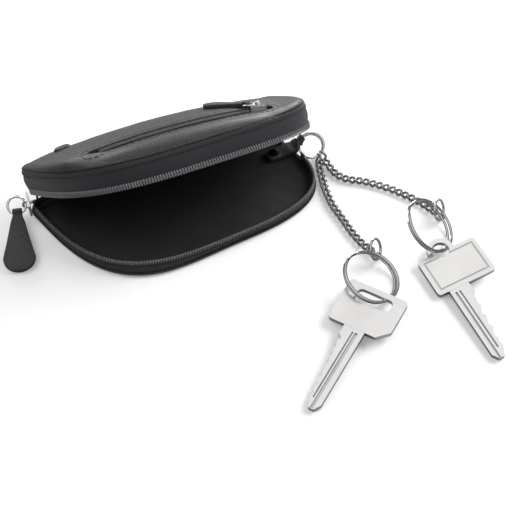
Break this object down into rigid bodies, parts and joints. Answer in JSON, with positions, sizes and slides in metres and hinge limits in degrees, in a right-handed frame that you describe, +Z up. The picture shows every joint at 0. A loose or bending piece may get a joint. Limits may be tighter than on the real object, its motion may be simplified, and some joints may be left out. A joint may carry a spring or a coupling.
{
  "type": "zip key case",
  "caption": "Zip-round black leather key case lying open, with a zip pocket, leather zip pulls, a ring strap, two chains on split rings and two keys.",
  "frame": {"origin": "On the surface the case stands on, under the middle of its lower half", "axes": "+X along the hinge to the end with the ring strap, +Y to the hinge at the rear, +Z up"},
  "size_m": [0.1806, 0.1472, 0.05],
  "materials": {
    "leather": "smooth black grained leather",
    "lining": "matt black lining",
    "zip_tape": "ribbed woven tape",
    "zip_teeth": "dark grey coil",
    "gunmetal": "polished dark metal",
    "silver": "polished nickel",
    "chain_metal": "polished dark nickel",
    "key_metal": "satin nickel"
  },
  "bodies": {
    "lower_half": {"lower_panel": "leather", "lower_lining": "lining", "lower_tape": "zip_tape", "lower_teeth": "zip_teeth", "lower_stop": "gunmetal", "spine_gusset": "leather", "ring_strap": "leather", "strap_rivet": "silver"},
    "flap": {"upper_panel": "leather", "upper_lining": "lining", "upper_tape": "zip_tape", "upper_teeth": "zip_teeth", "upper_stop": "gunmetal", "pocket_tape": "zip_tape", "pocket_teeth": "zip_teeth", "pocket_stops": "gunmetal", "pocket_bag": "lining", "stud_cap": "leather", "stud_washer": "gunmetal"},
    "main_slider": {"zip_slider": "gunmetal"},
    "main_ring": {"pull_ring": "silver"},
    "main_pull": {"pull_tab": "leather"},
    "pocket_slider": {"pocket_slider": "gunmetal"},
    "pocket_ring": {"pocket_ring": "silver"},
    "pocket_pull": {"pocket_tab": "leather"},
    "strap_ring": {"strap_ring": "chain_metal"},
    "chain_a1": {"chain_a1": "chain_metal"},
    "chain_a2": {"chain_a2": "chain_metal"},
    "chain_a3": {"chain_a3": "chain_metal"},
    "chain_a4": {"chain_a4": "chain_metal"},
    "jump_ring_a": {"jump_ring_a": "chain_metal"},
    "key_ring_a": {"key_ring_a": "chain_metal"},
    "key_a": {"key_a": "key_metal"},
    "chain_b1": {"chain_b1": "chain_metal"},
    "chain_b2": {"chain_b2": "chain_metal"},
    "chain_b3": {"chain_b3": "chain_metal"},
    "chain_b4": {"chain_b4": "chain_metal"},
    "jump_ring_b": {"jump_ring_b": "chain_metal"},
    "key_ring_b": {"key_ring_b": "chain_metal"},
    "key_b": {"key_b": "key_metal"}
  },
  "joints": [
    {"name": "flap_hinge", "type": "hinge", "parent": "lower_half", "child": "flap", "pos_m": [0, 0.02706, 0.0065], "axis": [-1, 0, 0], "range_deg": [-38, 22], "deforming": ["spine_gusset"]},
    {"name": "zip_slide", "type": "slide", "parent": "lower_half", "child": "main_slider", "axis": [-0.0985, -0.9951, 0], "range_m": [0, 0.0024]},
    {"name": "pull_ring_swing", "type": "hinge", "parent": "main_slider", "child": "main_ring", "pos_m": [-0.06446, 0.02066, 0.0065], "axis": [-0.9744, 0.225, 0], "range_deg": [0, 45]},
    {"name": "pull_tab_swing", "type": "hinge", "parent": "main_ring", "child": "main_pull", "pos_m": [-0.06855, 0.01941, 0.00495], "axis": [-0.9744, 0.225, 0], "range_deg": [0, 45]},
    {"name": "pocket_zip_slide", "type": "hinge", "parent": "flap", "child": "pocket_slider", "pos_m": [-0.008, -0.19712, -0.21619], "axis": [0, -0.788, 0.6157], "range_deg": [0, 11]},
    {"name": "pocket_ring_swing", "type": "hinge", "parent": "pocket_slider", "child": "pocket_ring", "pos_m": [0.03222, 0.00563, 0.04333], "axis": [0.7491, 0.4607, -0.476], "range_deg": [0, 60]},
    {"name": "pocket_tab_swing", "type": "hinge", "parent": "pocket_ring", "child": "pocket_pull", "pos_m": [0.02874, 0.009, 0.04111], "axis": [0.7491, 0.4607, -0.476], "range_deg": [0, 45]},
    {"name": "strap_ring_swing", "type": "hinge", "parent": "lower_half", "child": "strap_ring", "pos_m": [0.05478, 0.01212, 0.00625], "axis": [0, 0, 1], "range_deg": [-2, 5]},
    {"name": "chain_a1_swing", "type": "hinge", "parent": "strap_ring", "child": "chain_a1", "pos_m": [0.06024, 0.00493, 0.00235], "axis": [0, 0, 1], "range_deg": [-2, 1]},
    {"name": "chain_a2_swing", "type": "hinge", "parent": "chain_a1", "child": "chain_a2", "pos_m": [0.05642, -0.01025, 0.00136], "axis": [0, 0, 1], "range_deg": [-4, 8]},
    {"name": "chain_a3_swing", "type": "hinge", "parent": "chain_a2", "child": "chain_a3", "pos_m": [0.05547, -0.02492, 0.00136], "axis": [0, 0, 1], "range_deg": [-8, 8]},
    {"name": "chain_a4_swing", "type": "hinge", "parent": "chain_a3", "child": "chain_a4", "pos_m": [0.05709, -0.03957, 0.00136], "axis": [0, 0, 1], "range_deg": [-8, 8]},
    {"name": "jump_ring_a_swing", "type": "hinge", "parent": "chain_a4", "child": "jump_ring_a", "pos_m": [0.06212, -0.05434, 0.00199], "axis": [0, 0, 1], "range_deg": [-10, 10]},
    {"name": "key_ring_a_swing", "type": "hinge", "parent": "jump_ring_a", "child": "key_ring_a", "pos_m": [0.05899, -0.05401, 0.0057], "axis": [0, 0, 1], "range_deg": [-8, 8]},
    {"name": "key_a_swing", "type": "hinge", "parent": "key_ring_a", "child": "key_a", "pos_m": [0.04934, -0.07433, 0.00417], "axis": [0, 0, 1], "range_deg": [-4, 4]},
    {"name": "chain_b1_swing", "type": "hinge", "parent": "strap_ring", "child": "chain_b1", "pos_m": [0.06142, 0.00536, 0.00301], "axis": [0, 0, 1], "range_deg": [-1, 10]},
    {"name": "chain_b2_swing", "type": "hinge", "parent": "chain_b1", "child": "chain_b2", "pos_m": [0.06495, -0.00963, 0.00136], "axis": [0, 0, 1], "range_deg": [-4, 12]},
    {"name": "chain_b3_swing", "type": "hinge", "parent": "chain_b2", "child": "chain_b3", "pos_m": [0.07671, -0.0184, 0.00136], "axis": [0, 0, 1], "range_deg": [-4, 12]},
    {"name": "chain_b4_swing", "type": "hinge", "parent": "chain_b3", "child": "chain_b4", "pos_m": [0.08664, -0.02925, 0.00136], "axis": [0, 0, 1], "range_deg": [-4, 12]},
    {"name": "jump_ring_b_swing", "type": "hinge", "parent": "chain_b4", "child": "jump_ring_b", "pos_m": [0.09503, -0.04575, 0.00199], "axis": [0, 0, 1], "range_deg": [-4, 10]},
    {"name": "key_ring_b_swing", "type": "hinge", "parent": "jump_ring_b", "child": "key_ring_b", "pos_m": [0.0928, -0.04443, 0.0057], "axis": [0, 0, 1], "range_deg": [-5, 2]},
    {"name": "key_b_swing", "type": "hinge", "parent": "key_ring_b", "child": "key_b", "pos_m": [0.08514, -0.06156, 0.00356], "axis": [0, 0, 1], "range_deg": [-4, 4]}
  ]
}
